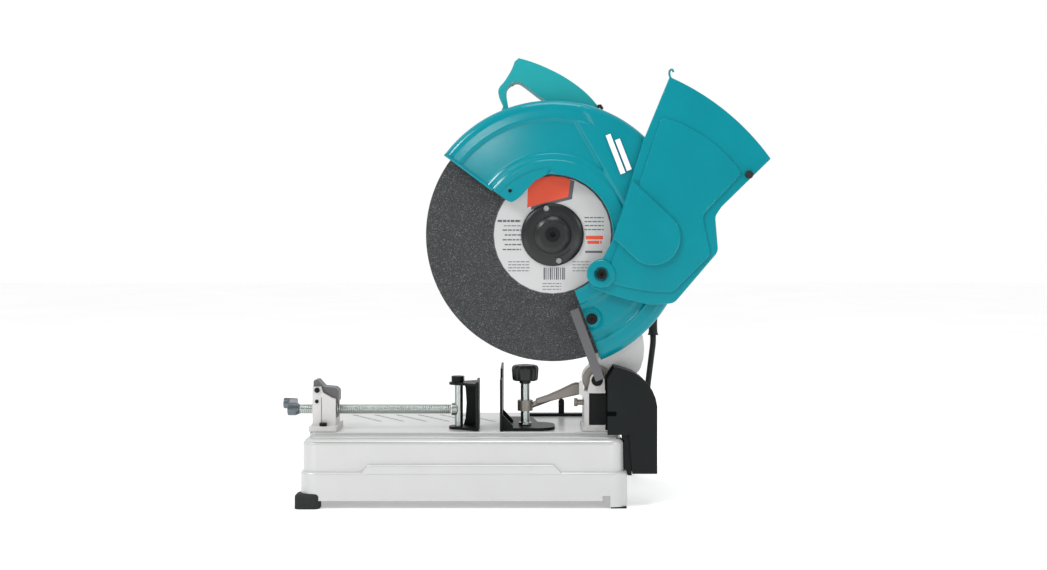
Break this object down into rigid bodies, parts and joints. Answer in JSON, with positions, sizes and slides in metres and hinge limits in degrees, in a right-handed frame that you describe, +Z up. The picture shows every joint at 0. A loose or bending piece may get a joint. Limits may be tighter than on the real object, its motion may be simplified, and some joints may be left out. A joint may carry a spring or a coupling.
{
  "type": "abrasive chop saw",
  "caption": "Bench chop saw with an abrasive cut-off wheel, swing-down head, open swing cover, screw vise, swivel fence, spark guard and mains lead.",
  "frame": {"origin": "on the floor under the middle of the saw without its lead", "axes": "+X from the operator's end to the spark guard, +Z up, the wheel is on the -Y side"},
  "size_m": [0.6992, 0.4173, 0.6279],
  "materials": {
    "teal_paint": "gloss enamel",
    "teal_plastic": "satin moulded plastic",
    "silver_paint": "satin silver enamel",
    "cast_aluminium": "as cast",
    "plated_steel": "zinc plated",
    "black_paint": "satin black enamel",
    "black_rubber": "moulded rubber",
    "grey_paint": "satin grey",
    "bonded_abrasive": "coarse resin-bonded grit",
    "copper_winding": "varnished copper",
    "black_plastic": "moulded"
  },
  "bodies": {
    "base": {"base_pan": "silver_paint", "front_foot_near": "black_rubber", "front_foot_far": "black_rubber", "rear_foot_near": "black_rubber", "rear_foot_far": "black_rubber", "pivot_bracket": "cast_aluminium", "bracket_pad": "black_paint", "pivot_shaft": "black_paint", "return_spring": "plated_steel", "stop_bolt": "black_paint", "spark_guard": "black_paint", "screw_holder": "cast_aluminium", "holder_bolt_near": "black_paint", "holder_bolt_far": "black_paint", "nut_pin": "black_paint", "fence_pillar": "plated_steel", "fence_lock_plate": "black_paint", "power_cord": "black_rubber", "cord_coil": "black_rubber", "power_plug": "black_plastic"},
    "head": {"gear_housing": "cast_aluminium", "gear_cover": "cast_aluminium", "blade_case": "teal_paint", "guard_bolt": "black_paint", "spark_deflector": "grey_paint", "cover_hinge_bolt": "black_paint", "front_bearing": "plated_steel", "rear_bearing": "plated_steel", "armature_bearing_front": "plated_steel", "armature_bearing_rear": "plated_steel", "motor_housing": "teal_plastic", "motor_end_cap": "teal_plastic", "field_core": "copper_winding", "brush_cap_near": "black_plastic", "brush_cap_far": "black_plastic", "handle_half_near": "teal_plastic", "handle_half_far": "teal_plastic", "power_switch": "black_plastic", "cord_guard": "black_rubber"},
    "spindle": {"spindle": "plated_steel", "spindle_gear": "plated_steel", "inner_flange": "black_paint", "abrasive_wheel": "bonded_abrasive", "outer_flange": "black_paint", "arbor_bolt": "black_paint"},
    "armature": {"armature": "plated_steel", "motor_fan": "teal_plastic"},
    "cover": {"centre_cover": "teal_paint", "cover_bumper": "black_rubber"},
    "trigger": {"trigger": "black_plastic"},
    "lock_button": {"lock_button": "black_plastic"},
    "vise_carriage": {"vise_post": "plated_steel"},
    "vise_screw": {"vise_screw": "plated_steel", "vise_crank": "plated_steel"},
    "vise_jaw": {"vise_jaw": "black_paint"},
    "nut_lever": {"nut_lever": "grey_paint"},
    "fence": {"fence_plate": "black_paint"},
    "fence_knob": {"fence_knob": "black_plastic"},
    "fence_lever": {"fence_lever": "plated_steel"}
  },
  "joints": [
    {"name": "head_swing", "type": "hinge", "parent": "base", "child": "head", "pos_m": [0.107, -0.052, 0.1712], "axis": [0, -1, 0], "range_deg": [0, 44], "stiffness_Nm_per_rad": 16, "springref_deg": -40.11},
    {"name": "spindle_turn", "type": "hinge", "parent": "head", "child": "spindle", "pos_m": [0.0436, -0.1, 0.3765], "axis": [0, 1, 0], "continuous": true},
    {"name": "armature_turn", "type": "hinge", "parent": "head", "child": "armature", "pos_m": [0.09195, 0, 0.34825], "axis": [0, 1, 0], "continuous": true},
    {"name": "cover_swing", "type": "hinge", "parent": "head", "child": "cover", "pos_m": [0.1103, -0.128, 0.3219], "axis": [0, -1, 0], "range_deg": [0, 103]},
    {"name": "trigger_squeeze", "type": "hinge", "parent": "head", "child": "trigger", "pos_m": [0.071, -0.057, 0.556], "axis": [0, 1, 0], "range_deg": [0, 6], "stiffness_Nm_per_rad": 0.5, "springref_deg": -17.19},
    {"name": "lock_press", "type": "slide", "parent": "head", "child": "lock_button", "axis": [0, -1, 0], "range_m": [0, 0.003], "stiffness_N_per_m": 300, "springref_m": -0.002},
    {"name": "vise_feed", "type": "slide", "parent": "base", "child": "vise_carriage", "axis": [1, 0, 0], "range_m": [-0.12, 0.014]},
    {"name": "vise_screw_turn", "type": "hinge", "parent": "vise_carriage", "child": "vise_screw", "pos_m": [-0.09, -0.055, 0.1267], "axis": [1, 0, 0], "range_deg": [-1680, 14400]},
    {"name": "jaw_swivel", "type": "hinge", "parent": "vise_carriage", "child": "vise_jaw", "pos_m": [-0.09, -0.055, 0.0986], "axis": [0, 0, 1], "range_deg": [-15, 15]},
    {"name": "nut_release", "type": "hinge", "parent": "base", "child": "nut_lever", "pos_m": [-0.29, -0.055, 0.156], "axis": [0, -1, 0], "range_deg": [0, 60]},
    {"name": "fence_swivel", "type": "hinge", "parent": "base", "child": "fence", "pos_m": [0.0054, -0.05, 0.0986], "axis": [0, 0, -1], "range_deg": [0, 45]},
    {"name": "knob_turn", "type": "hinge", "parent": "base", "child": "fence_knob", "pos_m": [0.0054, -0.05, 0.163], "axis": [0, 0, 1], "range_deg": [0, 360]},
    {"name": "lever_turn", "type": "hinge", "parent": "base", "child": "fence_lever", "pos_m": [0.0054, -0.05, 0.132], "axis": [0, 0, 1], "range_deg": [0, 30]}
  ],
  "couplings": [
    {"joint": "armature_turn", "follows": "spindle_turn", "ratio": -5.2222},
    {"joint": "vise_feed", "follows": "vise_screw_turn", "m_per_rad": -0.00047746}
  ]
}
